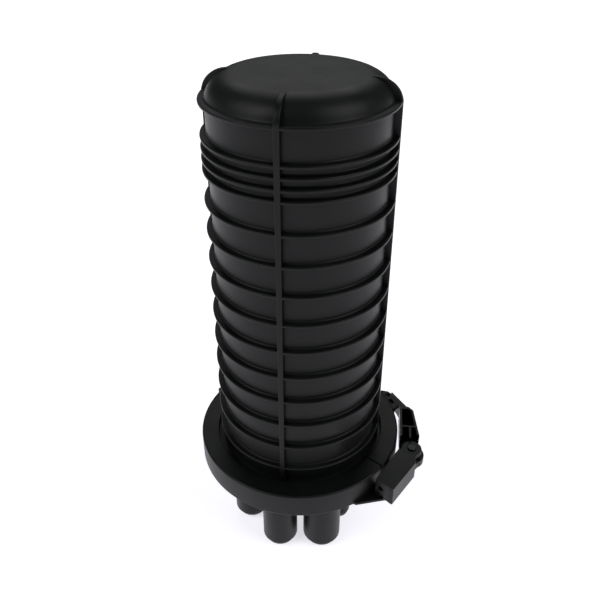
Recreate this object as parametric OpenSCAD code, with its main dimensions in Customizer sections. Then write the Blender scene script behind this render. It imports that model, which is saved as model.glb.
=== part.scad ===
// Dome splice closure: a ribbed dome clamped to a ported base by a hinged hoop with a draw latch.
// Millimetres. +Z is the dome's axis, and the origin is its crossing with the base's underside.
// Directions round the axis are azimuths: 0 faces -Y, 90 faces +X.

/* [Hoop] */
// Outer radius of the hoop
hoop_r = 100; // [92:0.5:112]
// Height of the hoop
hoop_h = 26; // [22:0.5:32]
// Height of the hoop's lower edge above the base's underside
hoop_z = 12; // [10:0.5:20]
// Thickness of the hoop's outer wall
hoop_wall = 5; // [3.5:0.1:7]
// Thickness of the hoop's two lips at their inner edge
lip_t = 4.1; // [3:0.1:5.5]
// Inner radius of the hoop's lips
lip_in_r = 83; // [80:0.5:87]
// Rise of the wedge faces for each millimetre of radius
wedge_slope = 0.2; // [0.1:0.01:0.3]
// Edge break on the hoop's outer edges
hoop_edge = 1.2; // [0.4:0.1:2]
// Azimuth of the hoop's latched split
split_az = 52; // [46:0.5:56]
// Width of the gap between the hoop halves' ends
split_gap = 1.2; // [0.8:0.1:2]

/* [Fits] */
// Seat clearance between faces that close on each other
seat = 0.3; // [0.2:0.05:0.5]
// Radial clearance of every pivot pin in its bores
pivot_play = 0.05; // [0.02:0.01:0.09]
// Radial clearance between the flanges and the hoop's wall
flange_play = 1; // [0.6:0.1:1.6]
// Clearance between the link's hook and its post
hook_play = 1.2; // [1.1:0.1:1.6]

/* [Dome] */
// Height of the dome's flat top above the base's underside
dome_top = 391.3; // [330:1:460]
// Radius of the dome's wall at its foot
wall_foot_r = 74.5; // [72:0.5:78]
// Radius of the dome's wall at its shoulder
wall_head_r = 73.2; // [70:0.1:74.5]
// Thickness of the dome's wall
dome_t = 3; // [2:0.1:4]
// How far the ring ribs stand out from the wall
ring_out = 5.1; // [3:0.1:6.5]
// Height of a ring rib at its outer edge
ring_h = 2.6; // [1.8:0.1:4]
// Extra height of a ring rib at its root
ring_root = 1.2; // [0.4:0.1:2]
// Height of the lowest ring rib's underside
ring_first_z = 54.9; // [50:0.1:60]
// Pitch of the widely spaced ring ribs
ring_pitch = 26.7; // [20:0.1:30]
// Number of widely spaced ring ribs
ring_count = 10; // [6:1:12]
// Number of closely spaced ring ribs above them
close_count = 4; // [2:1:4]
// Height of the shoulder, from the top ring rib's underside to the flat top
shoulder_h = 16; // [14:0.5:22]
// Radius of the flat top
crown_r = 51; // [44:0.5:54]
// Thickness of an upright rib
upright_t = 4.8; // [3:0.1:7]
// How far an upright rib stands proud of the ring ribs
upright_proud = 0.35; // [0.2:0.05:1]
// Azimuth of the first of the four upright ribs
upright_az = -12; // [-20:1:-5]

/* [Base] */
// Radius of the base's skirt under the flange
skirt_r = 79; // [76:0.5:81]
// Thickness of the skirt and of the webs under the deck
skirt_t = 3.5; // [2.5:0.1:5]
// Thickness of the deck that the ports pass through
deck_t = 8; // [6.5:0.1:10]
// Radius of the hub where the webs meet under the deck
hub_r = 9; // [6:0.5:12]
// Depth of the port tubes below the base's underside
port_drop = 78; // [60:1:110]
// Wall thickness of a port tube
port_wall = 2.6; // [2:0.1:3.5]
// Length of the tapered tip of a port tube
port_tip = 9; // [5:0.5:12]
// Height of the thicker collar at the top of each port tube, below the underside
collar_h = 7; // [4:0.5:14]
// How far that collar stands out from its tube
collar_out = 0.8; // [0.4:0.1:1]
// Radius of the two main round ports
port_main_r = 17.6; // [14:0.1:18.2]
// Radius of the larger round port
port_large_r = 19; // [16:0.1:19.6]
// Radius of the two small round ports
port_small_r = 10.8; // [8:0.1:11.6]
// Radius of the oval port's two ends
oval_end_r = 19; // [15:0.1:20]
// Distance between the centres of the oval port's ends
oval_span = 42; // [34:0.5:46]

/* [Seal] */
// Radius of the seal ring's middle line
seal_r = 87; // [85.5:0.1:88]
// Width of the seal ring
seal_w = 5.4; // [4:0.1:6]
// Height of the seal ring
seal_h = 4.4; // [3.6:0.1:5]

/* [Latch] */
// Azimuth of the hook post on the front half
post_az = 47.5; // [45:0.5:48.5]
// Distance of the hook post outside the hoop
post_off = 12.2; // [10:0.1:14]
// Radius of the hook post
post_r = 4.5; // [3.5:0.1:5.2]
// Azimuth of the lever's fulcrum on the rear half
fulcrum_az = 62.5; // [61:0.5:64]
// Distance of the lever's fulcrum outside the hoop
fulcrum_off = 12.3; // [11:0.1:14]
// Distance from the fulcrum to the link's pivot
crank = 22; // [20:0.1:24]
// Angle of the closed lever past its dead centre
over_centre = 3.2; // [2:0.1:6]
// Radius of the lever's two pivot pins
pivot_r = 3; // [2.4:0.1:3.4]
// Height of the lever's body
lever_h = 20; // [17:0.5:24]
// Wall and rib thickness of the lever's channel
lever_wall = 2.5; // [1.8:0.1:3.2]
// Thickness of the lever's floor
lever_floor = 3; // [2:0.1:4]
// Thickness of the lever's arm between its pivots
arm_t = 8; // [6:0.1:9]
// Finger gap between the hoop and the lever
lever_gap = 5.5; // [4.5:0.1:8]
// Radius of the link's ear
ear_r = 9.7; // [8:0.1:10.5]
// Thickness of the link's top and walls
link_wall = 3.6; // [2.8:0.1:4.4]
// Width of the arched recess in the link's end
arch_w = 9; // [6:0.5:11]
// Radius of the cross hole in the link's end
link_hole_r = 2.7; // [1.5:0.1:3]
// Thickness of the lock plate
plate_t = 3.6; // [2.5:0.1:5]
// Radius of the lock plate's round hole
plate_hole_r = 2.3; // [1.5:0.1:2.8]
// Thickness of the shelves that carry the post and the fulcrum
shelf_t = 4.3; // [3.2:0.1:4.6]

/* [Hinge] */
// Distance of the hinge pin outside the hoop
hinge_off = 4; // [3:0.1:6]
// Outer radius of the hinge knuckles
knuckle_r = 7; // [6:0.1:8.5]
// Radius of the hinge pin
hinge_pin_r = 2.5; // [2:0.1:3]

/* [Inside] */
// Width of the backbone plate
frame_w = 84; // [70:1:90]
// Sheet thickness of the backbone
frame_t = 2.5; // [1.5:0.1:3.5]
// Distance of the backbone's front face behind the axis
frame_y = 8; // [4:0.5:12]
// Free height between the deck and the lowest tray edge
tray_lift = 58; // [50:1:70]
// Length of a splice tray
tray_l = 230; // [180:1:250]
// Width of a splice tray
tray_w = 96; // [80:1:100]
// Depth of a splice tray
tray_d = 7.5; // [5:0.1:9]
// Number of splice trays
tray_count = 4; // [4:1:4]
// Gap between neighbouring trays
tray_gap = 0.6; // [0.4:0.1:1.5]
// Wall thickness of the trays and the basket
tray_wall = 1.6; // [1.2:0.1:2.2]
// Radius of the fibre guide drums in a tray
drum_r = 26; // [18:0.5:30]
// Number of splice slots in a holder
slot_count = 12; // [6:1:14]
// Depth of the slack basket behind the backbone
basket_d = 26; // [18:0.5:30]

/* [Hidden] */
tray_names = [for (i = [1 : 4]) str("splice_tray_", i)];
holder_names = [for (i = [1 : 4]) str("splice_holder_", i)];
$fn = 64;
tiny = 0.01;

function pol(r, az) = [r * sin(az), -r * cos(az)];

// Clamp stack, centred on the joint plane between the two flanges
joint_z = hoop_z + hoop_h / 2;
hoop_top = hoop_z + hoop_h;
flange_r = hoop_r - hoop_wall - flange_play;
flange_in_r = lip_in_r + 1;
flange_t = hoop_h / 2 - lip_t - seat;
flange_edge_t = flange_t - wedge_slope * (flange_r - flange_in_r);
deck_z = joint_z - deck_t;

// Hinge axis, opposite the split
hinge_az = split_az + 180;
hinge_p = pol(hoop_r + hinge_off, hinge_az);

// Latch plan: post, fulcrum and link pin
post_p = pol(hoop_r + post_off, post_az);
fulcrum_p = pol(hoop_r + fulcrum_off, fulcrum_az);
dead_centre = atan2(fulcrum_p.y - post_p.y, fulcrum_p.x - post_p.x);
crank_dir = dead_centre + over_centre;
link_p = fulcrum_p + crank * [cos(crank_dir), sin(crank_dir)];
link_l = norm(link_p - post_p);
link_dir = atan2(post_p.y - link_p.y, post_p.x - link_p.x);
shelf_z = hoop_z + 0.4;
shelf_top = shelf_z + shelf_t;
lever_z = shelf_top + seat;
lever_top = lever_z + lever_h;
arm_top = lever_z + arm_t;
pivot_head_r = pivot_r + 2.4;
pivot_head_h = 1.8;
arm_r = ear_r + 2.8;
ear_z = arm_top + seat;
ear_t = 7.4;
link_skin_z = hoop_top - link_wall;
link_z = shelf_top + 0.8;
block_near = ear_r + 1.1;
block_far = link_l + post_r + hook_play + link_wall;
block_swing_r = norm([block_near, 8.4]) + 1.7;
post_top = link_skin_z - 0.8;

// ---------------------------------------------------------------- base

ports = [
    ["main_left", [-20.5, -50], port_main_r],
    ["large_right", [22.5, -50], port_large_r],
    ["side_left", [-52, -13], port_main_r],
    ["small_right", [43, -19.5], port_small_r],
    ["small_side", [49.5, 5], port_small_r]];
oval_y = 44;
oval_x = -2;
web_step = 45;
web_lift = 4;

module port_shape(r, drop, grow) {
    // a round tube with a tapered blind tip, grown by `grow` all round
    rotate_extrude() polygon([
        [0, -drop - grow], [r * 0.52 + grow, -drop - grow],
        [r * 0.8 + grow, -drop - grow + port_tip * 0.28],
        [r + grow, -drop - grow + port_tip], [r + grow, 0], [0, 0]]);
}

module port_outside(r) {
    port_shape(r, port_drop, 0);
    translate([0, 0, -collar_h]) cylinder(r = r + collar_out, h = collar_h + tiny);
}

module port_inside(r) {
    port_shape(r - port_wall, port_drop - port_wall, 0);
    translate([0, 0, -tiny]) cylinder(r = r - port_wall, h = joint_z + 1);
}

module oval_slab(r, z0, z1) {
    // a flat-sided oval prism
    for (s = [-1, 1]) translate([s * oval_span / 2, 0, z0]) cylinder(r = r, h = z1 - z0);
    translate([-oval_span / 2, -r, z0]) cube([oval_span, 2 * r, z1 - z0]);
}

module oval_port(grow) {
    r = oval_end_r + grow;
    drop = port_drop + grow;
    for (s = [-1, 1]) translate([s * oval_span / 2, 0, 0]) port_shape(r, drop, 0);
    rotate([90, 0, 90]) translate([0, 0, -oval_span / 2]) linear_extrude(oval_span)
        polygon([[-r * 0.52, -drop], [r * 0.52, -drop], [r * 0.8, -drop + port_tip * 0.28],
            [r, -drop + port_tip], [r, 0], [-r, 0],
            [-r, -drop + port_tip], [-r * 0.8, -drop + port_tip * 0.28]]);
}

module base() {
    color("dimgray") difference() {
        union() {
            // skirt, deck and wedge flange
            rotate_extrude() polygon([
                [skirt_r - skirt_t, 0], [skirt_r, 0], [skirt_r, joint_z - flange_t],
                [flange_in_r, joint_z - flange_t], [flange_r, joint_z - flange_edge_t],
                [flange_r, joint_z], [0, joint_z], [0, deck_z], [skirt_r - skirt_t, deck_z]]);
            // tubes, with a deeper collar where they leave the underside
            for (p = ports) translate(p[1]) {
                port_outside(p[2]);
                cylinder(r = p[2] + collar_out, h = deck_z + tiny);
            }
            translate([oval_x, oval_y]) {
                oval_port(0);
                oval_slab(oval_end_r + collar_out, -collar_h, deck_z + tiny);
            }
            // stiffening webs under the deck
            for (az = [web_step / 2 : web_step : 360])
                rotate([0, 0, az - 90]) translate([hub_r / 2, -skirt_t / 2, web_lift])
                    cube([skirt_r - (skirt_t + hub_r) / 2, skirt_t, deck_z - web_lift + tiny]);
            cylinder(r = hub_r, h = deck_z + tiny);
        }
        for (p = ports) translate(p[1]) port_inside(p[2]);
        translate([oval_x, oval_y]) {
            oval_port(-port_wall);
            oval_slab(oval_end_r - port_wall, -tiny, joint_z + 1);
        }
        // seal groove
        rotate_extrude() translate([seal_r - seal_w / 2 - seat, joint_z - seal_h - seat])
            square([seal_w + 2 * seat, seal_h + seat + 1]);
        // blind screw holes for the backbone's feet, the earth stud and the anchors
        for (p = frame_screw_points) translate([p.x, p.y, joint_z - screw_hole_depth])
            cylinder(r = screw_r, h = screw_hole_depth + 1);
    }
}

// ---------------------------------------------------------------- dome

ring_top_z = dome_top - shoulder_h;
ring_last_z = ring_first_z + (ring_count - 1) * ring_pitch;
close_pitch = ring_pitch / 3;
ring_zs = concat([for (i = [0 : ring_count - 1]) ring_first_z + i * ring_pitch],
    [for (i = [1 : close_count]) ring_last_z + i * close_pitch + (ring_pitch - close_pitch)],
    [ring_top_z]);

function wall_r(z) = wall_foot_r
    + (wall_head_r - wall_foot_r) * (z - joint_z) / (ring_top_z - joint_z);

// shoulder: a quarter ellipse from the wall's head to the crown's edge, `t` outside the wall
shoulder_steps = 12;
function shoulder(t) = [for (i = [0 : shoulder_steps]) let (a = 90 * i / shoulder_steps)
    [crown_r + (wall_head_r - crown_r + t) * cos(a),
     ring_top_z + (shoulder_h + min(t, 0)) * sin(a)]];

function ring_profile(z) = [
    [wall_r(z), z - ring_root / 2], [wall_r(z) + ring_out - 0.4, z], [wall_r(z) + ring_out, z + 0.4],
    [wall_r(z) + ring_out, z + ring_h - 0.4], [wall_r(z) + ring_out - 0.4, z + ring_h],
    [wall_r(z), z + ring_h + ring_root / 2]];

dome_outer = concat(
    [[flange_r, joint_z], [flange_r, joint_z + flange_edge_t], [flange_in_r, joint_z + flange_t],
     [wall_foot_r + 3, joint_z + flange_t], [wall_foot_r, joint_z + flange_t + 5]],
    [for (z = ring_zs) each ring_profile(z)],
    shoulder(0));
dome_inner = concat([[0, dome_top - dome_t]],
    [for (i = [shoulder_steps : -1 : 0]) shoulder(-dome_t)[i]],
    [[wall_foot_r - dome_t, joint_z]]);

module upright_rib() {
    // a radial plate from the flange over the shoulder to the crown's edge
    out = ring_out + upright_proud;
    over = 2.4;
    rotate([90, 0, 0]) translate([0, 0, -upright_t / 2]) linear_extrude(upright_t)
        polygon(concat(
            [[wall_foot_r - dome_t / 2, joint_z + flange_t - 1], [wall_foot_r + out, joint_z + flange_t - 1],
             [wall_head_r + out, ring_top_z + ring_h]],
            [for (i = [2 : shoulder_steps]) let (a = 90 * i / shoulder_steps)
                [crown_r + (wall_head_r - crown_r + out) * cos(a) - (a == 90 ? 0.6 : 0),
                 ring_top_z + (shoulder_h + over * cos(a)) * sin(a) + (a == 90 ? 0.2 : 0)]],
            [[crown_r - 0.6, dome_top - dome_t / 2],
             [crown_r + (wall_head_r - crown_r) * 0.7, dome_top - shoulder_h * 0.42],
             [wall_head_r - dome_t / 2, ring_top_z]]));
}

module dome() {
    color("dimgray") union() {
        rotate_extrude($fn = 96) polygon(concat(dome_outer, [[0, dome_top]], dome_inner));
        for (i = [0 : 3]) rotate([0, 0, upright_az + 90 * i - 90]) upright_rib();
    }
}

module seal_ring() {
    w = seal_w / 2;
    h = seal_h / 2;
    soft = 0.9;
    color("black") rotate_extrude() translate([seal_r, joint_z - seat - h]) polygon([
        [w, h - soft], [w - soft, h], [soft - w, h], [-w, h - soft],
        [-w, soft - h], [soft - w, -h], [w - soft, -h], [w, soft - h]]);
}

// ---------------------------------------------------------------- hoop

groove_half = flange_t + seat;
groove_edge_half = groove_half - wedge_slope * (hoop_r - hoop_wall - flange_in_r);

hoop_profile = [
    [lip_in_r, hoop_z], [hoop_r - hoop_edge, hoop_z], [hoop_r, hoop_z + hoop_edge],
    [hoop_r, hoop_top - hoop_edge], [hoop_r - hoop_edge, hoop_top], [lip_in_r, hoop_top],
    [lip_in_r, joint_z + groove_half], [flange_in_r, joint_z + groove_half],
    [hoop_r - hoop_wall, joint_z + groove_edge_half], [hoop_r - hoop_wall, joint_z - groove_edge_half],
    [flange_in_r, joint_z - groove_half], [lip_in_r, joint_z - groove_half]];

// half the angle of the gap at the hoop's outer radius
gap_deg = asin(split_gap / 2 / hoop_r);

module hoop_half(start_az) {
    rotate([0, 0, start_az - 90 + gap_deg]) rotate_extrude(angle = 180 - 2 * gap_deg)
        polygon(hoop_profile);
}

module knuckle() {
    // round barrel of the hinge, at full height; each half then cuts away the other half's share
    translate([hinge_p.x, hinge_p.y, barrel_z0]) cylinder(r = knuckle_r, h = barrel_z1 - barrel_z0);
}

module knuckle_web(side) {
    // block that ties the barrel to the hoop's wall, on one side of the split
    reach = knuckle_r + 7;
    rotate([0, 0, hinge_az - 90])
        translate([hoop_r - hoop_wall + 1, side > 0 ? split_gap / 2 : -reach, barrel_z0 + 0.7])
            cube([hinge_off + hoop_wall - 2, reach - split_gap / 2, barrel_z1 - barrel_z0 - 1.4]);
}

module knuckle_room(z0, z1) {
    translate([hinge_p.x, hinge_p.y, z0]) cylinder(r = knuckle_r + seat, h = z1 - z0);
}

module hinge_bore() {
    translate([hinge_p.x, hinge_p.y, hoop_z - 1]) cylinder(r = hinge_pin_r + pivot_play, h = hoop_h + 2);
}

barrel_z0 = hoop_z + 0.6;
barrel_z1 = hoop_top - 0.6;
k1 = hoop_z + hoop_h / 3;
k2 = hoop_top - hoop_h / 3;

module post_shelf() {
    // triangular web at the hoop's lower edge that carries the hook post
    translate([0, 0, shelf_z]) linear_extrude(shelf_top - shelf_z - 1.2) polygon([
        pol(hoop_r - 2, 30), pol(hoop_r + 2.2, 31), post_p + [-1.2, -post_r - 1.4],
        post_p + [post_r + 0.6, -post_r + 0.8], post_p + [post_r, 2], pol(hoop_r - 2, split_az - 1)]);
}

module hoop_front() {
    color("dimgray") difference() {
        union() {
            hoop_half(hinge_az);
            knuckle();
            knuckle_web(1);
            post_shelf();
            translate([post_p.x, post_p.y, shelf_z]) cylinder(r = post_r, h = post_top - shelf_z);
        }
        knuckle_room(k1 - seat, k2 + seat);
        hinge_bore();
    }
}

plate_top = hoop_top - 0.6;
// lock plate corners, as [distance outside the hoop, azimuth]
plate_outline = [[-2.5, 99.5], [8.6, 103.2], [8.9, 106], [8.6, 113.6], [7, 116.2], [2.5, 118.5], [-2.5, 119.8]];
fulcrum_land = 8.2;

module fulcrum_shelf() {
    // shelf at the hoop's lower edge that carries the lever's fulcrum pin
    translate([0, 0, shelf_z]) linear_extrude(shelf_top - shelf_z) union() {
        translate(fulcrum_p) circle(r = fulcrum_land);
        polygon([pol(hoop_r - 2, split_az + 1.2), pol(hoop_r + fulcrum_off - 0.5, fulcrum_az - 4),
            pol(hoop_r + fulcrum_off - 0.5, fulcrum_az + 4), pol(hoop_r - 2, fulcrum_az + 9)]);
    }
}

module lock_plate() {
    slot = [6.6, 3.4];
    translate([0, 0, plate_top - plate_t]) difference() {
        linear_extrude(plate_t) polygon([for (q = plate_outline) pol(hoop_r + q[0], q[1])]);
        translate(pol(hoop_r + 3.4, 113.5)) translate([0, 0, -1]) cylinder(r = plate_hole_r, h = plate_t + 2);
        translate(pol(hoop_r + 2.6, 107.6)) rotate([0, 0, 107.6])
            translate([-slot.x / 2, -slot.y / 2, -1]) cube([slot.x, slot.y, plate_t + 2]);
    }
    // gusset under the plate, on the hoop's wall
    gusset_az = [101, 111, 119];
    for (az = gusset_az) rotate([0, 0, az - 90]) rotate([90, 0, 0])
        translate([0, 0, -lever_wall / 2]) linear_extrude(lever_wall) polygon([
            [hoop_r - 1.5, plate_top - plate_t + 0.5], [hoop_r + 2.2, plate_top - plate_t + 0.5],
            [hoop_r - 1.5, plate_top - plate_t - 9]]);
}

module hoop_rear() {
    color("dimgray") difference() {
        union() {
            hoop_half(split_az);
            knuckle();
            knuckle_web(-1);
            fulcrum_shelf();
            lock_plate();
        }
        knuckle_room(hoop_z - 1, k1 + seat);
        knuckle_room(k2 - seat, hoop_top + 1);
        hinge_bore();
        translate([fulcrum_p.x, fulcrum_p.y, hoop_z - 1]) cylinder(r = pivot_r + pivot_play, h = shelf_t + 2);
    }
}

module headed_pin(p, r, z0, z1, head_r, head_h) {
    // a plain pin with a head closed on each end
    translate([p.x, p.y, z0]) cylinder(r = r, h = z1 - z0);
    translate([p.x, p.y, z0 - head_h]) cylinder(r = head_r, h = head_h);
    translate([p.x, p.y, z1]) rotate_extrude() polygon([
        [0, 0], [head_r, 0], [head_r, head_h * 0.6], [head_r - head_h * 0.4, head_h], [0, head_h]]);
}

module hoop_hinge_pin() {
    color("silver") headed_pin(hinge_p, hinge_pin_r, barrel_z0, barrel_z1, hinge_pin_r + 2, 1.4);
}

// ---------------------------------------------------------------- latch

// lever outline, as distance outside the hoop against azimuth
tail_az = 77.5;
cross_az = 86.3;
end_az = 101.4;
outer_table = [[60, 26], [72, 25.5], [80, 23.4], [86, 22.3], [96, 21.6], [100, 19.6], [104, 16.6], [116, 14.2]];
function outer_off(az) = lookup(az, outer_table);
function arc_in(off, a0, a1) = [for (i = [0 : 8]) pol(hoop_r + off, a0 + (a1 - a0) * i / 8)];
function arc_out(inset, a0, a1) = [for (i = [0 : 8]) let (az = a0 + (a1 - a0) * i / 8)
    pol(hoop_r + outer_off(az) - inset, az)];
function cell(in_off, inset, a0, a1) = concat(arc_in(in_off, a0, a1), arc_out(inset, a1, a0));
wall_deg = lever_wall / (hoop_r + lever_gap) * 180 / PI;

module lever_arm() {
    // arm between the fulcrum and the link pin, as one plan outline
    side = crank_dir - 90;
    n = [cos(side), sin(side)];
    union() {
        translate(fulcrum_p) circle(r = arm_r - 4.3);
        translate(link_p) circle(r = arm_r);
        polygon([fulcrum_p + n * (arm_r - 4.8), link_p + n * (arm_r - 0.7),
            link_p - n * (arm_r - 0.7), fulcrum_p - n * (arm_r - 4.8)]);
    }
}

module lever_root() {
    // ties the arm's disc to the channel's floor and walls
    polygon(concat(arc_in(lever_gap, 72.5, tail_az + 1), arc_out(0, tail_az + 1, 74)));
}

module lever_channel() {
    // open-topped channel with one cross rib, cut short where the link's block turns past it
    difference() {
        translate([0, 0, lever_z]) linear_extrude(lever_h) polygon(cell(lever_gap, 0, tail_az, end_az));
        translate([0, 0, lever_z + lever_floor]) linear_extrude(lever_h)
            polygon(cell(lever_gap + lever_wall, lever_wall, cross_az + wall_deg / 2, end_az - wall_deg));
        translate([0, 0, arm_top - 2]) linear_extrude(lever_h)
            polygon(cell(lever_gap + lever_wall, lever_wall, tail_az - 2, cross_az - wall_deg / 2));
        translate([link_p.x, link_p.y, arm_top]) cylinder(r = block_swing_r, h = lever_h);
    }
}

module long_rib() {
    // rib from the cross rib to the link's ear
    mid = (lever_gap + outer_off(82)) / 2;
    difference() {
        translate([0, 0, arm_top - 3]) linear_extrude(lever_top - arm_top + 3) polygon(concat(
            arc_in(mid - lever_wall / 2, tail_az - 2, cross_az), arc_in(mid + lever_wall / 2, cross_az, tail_az - 2)));
        translate([link_p.x, link_p.y, arm_top]) cylinder(r = ear_r + 0.7, h = lever_h);
    }
}

module grip_fin() {
    // tapering fin beyond the channel's end, to get a finger behind
    translate([0, 0, lever_z]) linear_extrude(lever_h - 2.5) polygon([
        pol(hoop_r + outer_off(98), 98), pol(hoop_r + 14.4, 116), pol(hoop_r + 12.7, 116.3),
        pol(hoop_r + 9.6, 103.4), pol(hoop_r + 9.2, 100)]);
}

module latch_lever() {
    color("dimgray") difference() {
        union() {
            translate([0, 0, lever_z]) linear_extrude(arm_t) lever_arm();
            translate([0, 0, lever_z]) linear_extrude(arm_t) lever_root();
            lever_channel();
            long_rib();
            grip_fin();
        }
        for (p = [fulcrum_p, link_p])
            translate([p.x, p.y, lever_z - 1]) cylinder(r = pivot_r + pivot_play, h = lever_h);
    }
}

// link outline in its own plan: x from the pin towards the hook, y away from the hoop
link_outline = [[block_near, -8.6], [block_near, 8.4], [block_near + 9, 13.6],
    [block_far + 1.6, 11.2], [block_far - 1.2, -8.7]];

module link_frame() {
    translate([link_p.x, link_p.y, 0]) rotate([0, 0, link_dir]) children();
}

module latch_link() {
    hook_in = link_l + post_r + hook_play;
    arch_y = -3.4;
    arch_z = link_z + (link_skin_z - link_z) * 0.55;
    rear_z = ear_z + pivot_head_h + seat;
    color("dimgray") difference() {
        link_frame() union() {
            // top skin
            translate([0, 0, link_skin_z]) linear_extrude(link_wall) polygon(link_outline);
            // outer side wall
            translate([0, 0, link_z]) linear_extrude(link_skin_z - link_z + 1) polygon([
                [block_near + 7.2, 12.2], [block_near + 9, 13.6], [block_far + 1.6, 11.2],
                [block_far + 1.6, 11.2 - link_wall], [block_near + 7.2, 13.6 - link_wall + 0.2]]);
            // hook wall in front of the post
            translate([0, 0, link_z]) linear_extrude(link_skin_z - link_z + 1) polygon([
                [hook_in, -8.65], [block_far - 1.2, -8.7], [block_far + 1.6, 11.2], [hook_in, 11.2]]);
            // rear wall, clear of the fulcrum pin's head, and the ear on its neck
            translate([0, 0, rear_z]) linear_extrude(link_skin_z - rear_z + 1) polygon([
                [block_near, -8.6], [block_near, 8.4], [block_near + 4, 11.1], [block_near + 4, -8.6]]);
            translate([0, 0, ear_z]) cylinder(r = ear_r, h = ear_t);
            translate([0, -ear_r * 0.86, ear_z]) cube([block_near + 1, ear_r * 1.72, ear_t]);
        }
        link_frame() {
            // arched recess with its cross hole
            translate([hook_in + 1.6, arch_y, 0]) rotate([90, 0, 90]) linear_extrude(link_wall + 4) union() {
                translate([-arch_w / 2, link_z - 1]) square([arch_w, arch_z - link_z + 1]);
                translate([0, arch_z]) circle(d = arch_w);
            }
            translate([hook_in - 1, arch_y, arch_z]) rotate([0, 90, 0]) cylinder(r = link_hole_r, h = 8);
        }
        translate([link_p.x, link_p.y, ear_z - 1]) cylinder(r = pivot_r + pivot_play, h = ear_t + 2);
    }
}

module fulcrum_pin() {
    color("silver") headed_pin(fulcrum_p, pivot_r, shelf_z, arm_top + seat, pivot_head_r, pivot_head_h);
}

module link_pin() {
    color("silver") headed_pin(link_p, pivot_r, lever_z, ear_z + ear_t + seat, pivot_head_r, 1.4);
}

// ---------------------------------------------------------------- inside the dome

screw_r = 1.65;
screw_hole_depth = 6;
foot_l = 14;
frame_top = joint_z + tray_lift + tray_l + 8;
frame_screw_points = [for (s = [-1, 1]) [s * (frame_w / 2 - 9), frame_y + frame_t + foot_l / 2]];

module screw(p, z) {
    // pan-head screw that enters the deck from above
    translate([p.x, p.y, z - screw_hole_depth + 1.5]) cylinder(r = screw_r - pivot_play, h = screw_hole_depth - 1.5);
    translate([p.x, p.y, z]) rotate_extrude() polygon([[0, 0], [3.4, 0], [3.2, 1.2], [2.2, 2.1], [0, 2.3]]);
}

module support_frame() {
    // folded backbone: an upright plate with two feet screwed to the deck
    color("silver") difference() {
        union() {
            translate([-frame_w / 2, frame_y, joint_z]) cube([frame_w, frame_t, frame_top - joint_z]);
            for (p = frame_screw_points)
                translate([p.x - 7, frame_y, joint_z]) cube([14, frame_t + foot_l, frame_t]);
        }
        for (p = frame_screw_points) translate([p.x, p.y, joint_z - 1])
            cylinder(r = screw_r + 0.3, h = frame_t + 2);
        // cable window above the ports and lightening holes behind the trays
        translate([-frame_w / 2 + 10, frame_y - 1, joint_z + 10]) cube([frame_w - 20, frame_t + 2, 34]);
        for (i = [0 : 3]) translate([0, frame_y - 1, joint_z + tray_lift + 34 + i * 52])
            rotate([-90, 0, 0]) cylinder(r = 14, h = frame_t + 2);
    }
}

module frame_screws() {
    color("silver") for (p = frame_screw_points) screw(p, joint_z + frame_t);
}

tray_z = joint_z + tray_lift;
tray_pitch = tray_d + tray_gap;
bracket_t = 4;
bracket_front = frame_y - seat;
tray_back = bracket_front - bracket_t - seat;
function tray_y(i) = tray_back - (i - 1) * tray_pitch;
tray_pin_r = 1.2;
tray_lug_x = tray_w / 2 - 24;

module tray_bracket() {
    // plate on the backbone with a shelf that carries one hinge rib for each tray edge
    shelf_y = tray_y(tray_count) - tray_d;
    color("gainsboro") difference() {
        union() {
            translate([-tray_w / 2 + 6, bracket_front - bracket_t, tray_z - 16])
                cube([tray_w - 12, bracket_t, 60]);
            for (s = [-1, 1]) translate([s * tray_lug_x - 3, shelf_y, tray_z - 16])
                cube([6, bracket_front - shelf_y, 12]);
        }
        for (i = [1 : tray_count], s = [-1, 1])
            translate([s * tray_lug_x - 4, tray_y(i) - tray_d / 2, tray_z - 8])
                rotate([0, 90, 0]) cylinder(r = tray_pin_r + pivot_play, h = 8);
    }
}

module tray_hinge_pins() {
    color("silver") for (i = [1 : tray_count], s = [-1, 1])
        translate([s > 0 ? tray_lug_x - 3.2 : -tray_lug_x - 6.8, tray_y(i) - tray_d / 2, tray_z - 8])
            rotate([0, 90, 0]) cylinder(r = tray_pin_r, h = 10);
}

module rounded_plate(w, l, r) {
    // plan of a plate with round corners, its lower edge on the X axis
    union() {
        translate([-w / 2 + r, 0]) square([w - 2 * r, l]);
        translate([-w / 2, r]) square([w, l - 2 * r]);
        for (sx = [-1, 1], y = [r, l - r]) translate([sx * (w / 2 - r), y]) circle(r = r);
    }
}

module splice_tray(i) {
    // shallow tray standing on its lower edge, open towards the front
    r = 16;
    color("gainsboro") translate([0, tray_y(i), tray_z]) rotate([90, 0, 0]) union() {
        difference() {
            linear_extrude(tray_d) rounded_plate(tray_w, tray_l, r);
            translate([0, tray_wall, tray_wall]) linear_extrude(tray_d)
                rounded_plate(tray_w - 2 * tray_wall, tray_l - 2 * tray_wall, r - tray_wall);
            // entries for the tubes at the hinge end
            for (s = [-1, 1]) translate([s * (tray_lug_x - 9) - 5, -1, tray_wall])
                cube([10, tray_wall + 2, tray_d]);
        }
        // fibre guide drums
        for (y = [drum_r + 20, tray_l - drum_r - 20]) translate([0, y, 0]) difference() {
            cylinder(r = drum_r, h = tray_d - 1);
            translate([0, 0, tray_wall]) cylinder(r = drum_r - tray_wall, h = tray_d);
        }
        // hinge lugs
        for (s = [-1, 1]) translate([s * (tray_lug_x + 5.1), 0, tray_d / 2]) difference() {
            translate([-1.8, -8 - 2.6, -2.6]) cube([3.6, 12, 5.2]);
            translate([-4, -8, 0]) rotate([0, 90, 0]) cylinder(r = tray_pin_r + pivot_play, h = 8);
        }
    }
}

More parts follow.
